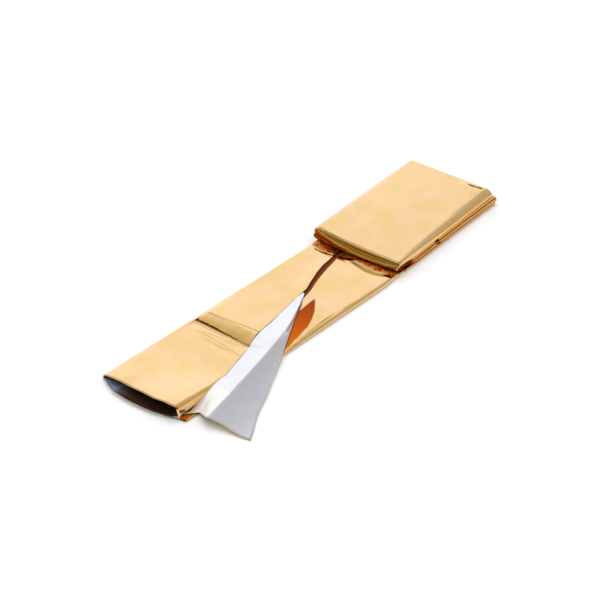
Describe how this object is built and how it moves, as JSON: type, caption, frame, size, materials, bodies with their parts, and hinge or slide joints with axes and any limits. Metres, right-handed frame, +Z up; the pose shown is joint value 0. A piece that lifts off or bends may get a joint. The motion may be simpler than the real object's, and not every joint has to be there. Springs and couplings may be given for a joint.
{
  "type": "emergency foil blanket",
  "caption": "Gold and silver rescue blanket of thin metallised film, folded into a flat pack with a strip pulled out, its end open and one leaf turned back.",
  "frame": {"origin": "middle of the bounding box in plan, on the surface the blanket lies on", "axes": "+X along the strip from its open mouth to the back of the pack, +Y to the strip's left, away from the turned-out flap, +Z up"},
  "size_m": [0.4796, 0.1716, 0.0188],
  "materials": {
    "metallised_film": "thin metallised polyester film, mirror-bright, gold on the outer face and silver on the inner face"
  },
  "bodies": {
    "root": {"blanket": "metallised_film"}
  },
  "joints": []
}
